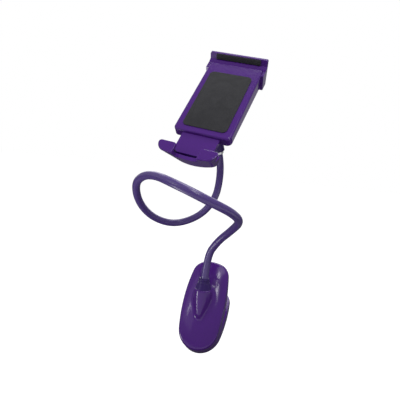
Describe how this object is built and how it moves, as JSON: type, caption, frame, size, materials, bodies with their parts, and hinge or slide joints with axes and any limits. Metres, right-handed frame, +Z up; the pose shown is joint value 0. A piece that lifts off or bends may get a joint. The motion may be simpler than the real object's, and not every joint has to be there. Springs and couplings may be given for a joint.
{
  "type": "phone gooseneck holder",
  "caption": "Spring clamp with a bendable looped arm, a ball joint and a phone cradle whose clawed lower jaw slides to suit the phone's length.",
  "frame": {"origin": "on the gripping face of the clamp's fixed jaw pad", "axes": "+Z up along the foot of the arm, +X across the clamp, +Y away from the viewer of the cradle"},
  "size_m": [0.1197, 0.1567, 0.3331],
  "materials": {
    "purple_gloss": "deep purple glossy moulded plastic",
    "purple_satin": "satin purple sleeve",
    "dark_purple": "very dark purple moulded plastic",
    "black_rubber": "matt black rubber",
    "black_foam": "matt dark foam sheet",
    "nylon": "natural nylon",
    "steel": "plain steel"
  },
  "bodies": {
    "clamp": {"clamp_upper_shell": "purple_gloss", "upper_jaw_pad": "black_rubber", "hinge_pin": "steel", "pin_clip": "steel", "clamp_spring": "steel", "lower_ferrule": "steel", "foot_screw": "steel", "foot_collar": "dark_purple", "foot_boot": "purple_satin", "gooseneck_sleeve": "purple_satin", "gooseneck_core": "steel"},
    "clamp_jaw": {"clamp_lower_jaw": "purple_gloss", "lower_jaw_pad": "black_rubber"},
    "arm_end": {"upper_ferrule": "steel", "ball_stud": "purple_gloss"},
    "ball_seat": {"ball_seat_ring": "nylon"},
    "lock_nut": {"lock_nut": "purple_gloss"},
    "cradle": {"tray": "purple_gloss", "back_cover": "purple_gloss", "cover_screws": "steel", "top_jaw": "purple_gloss", "top_jaw_screws": "steel", "lip_pad": "black_rubber", "tray_pad": "black_foam", "slide_spring": "steel"},
    "bottom_jaw": {"bottom_jaw": "purple_gloss", "claw_pads": "black_rubber"}
  },
  "joints": [
    {"name": "jaw_hinge", "type": "hinge", "parent": "clamp", "child": "clamp_jaw", "pos_m": [0, 0.02281, 0.02524], "axis": [1, 0, 0], "range_deg": [0, 38], "stiffness_Nm_per_rad": 0.6, "springref_deg": -51.57, "deforming": ["clamp_spring"]},
    {"name": "gooseneck_bend", "type": "hinge", "parent": "clamp", "child": "arm_end", "pos_m": [0, 0, 0.15], "axis": [1, 0, 0], "range_deg": [-20, 20], "deforming": ["gooseneck_sleeve", "gooseneck_core"]},
    {"name": "ball_swing", "type": "hinge", "parent": "arm_end", "child": "ball_seat", "pos_m": [-0.00815, 0.02281, 0.23318], "axis": [-0.0997, -0.883, -0.4587], "range_deg": [-12, 42]},
    {"name": "ball_tilt", "type": "hinge", "parent": "ball_seat", "child": "lock_nut", "pos_m": [-0.00815, 0.02281, 0.23318], "axis": [0.9902, -0.0427, -0.133], "range_deg": [-49, 5]},
    {"name": "cradle_spin", "type": "hinge", "parent": "lock_nut", "child": "cradle", "pos_m": [-0.00815, 0.02281, 0.23318], "axis": [0.0534, -0.7642, 0.6428], "continuous": true},
    {"name": "jaw_slide", "type": "slide", "parent": "cradle", "child": "bottom_jaw", "axis": [-0.1291, -0.6436, -0.7544], "range_m": [-0.02, 0.022]}
  ]
}
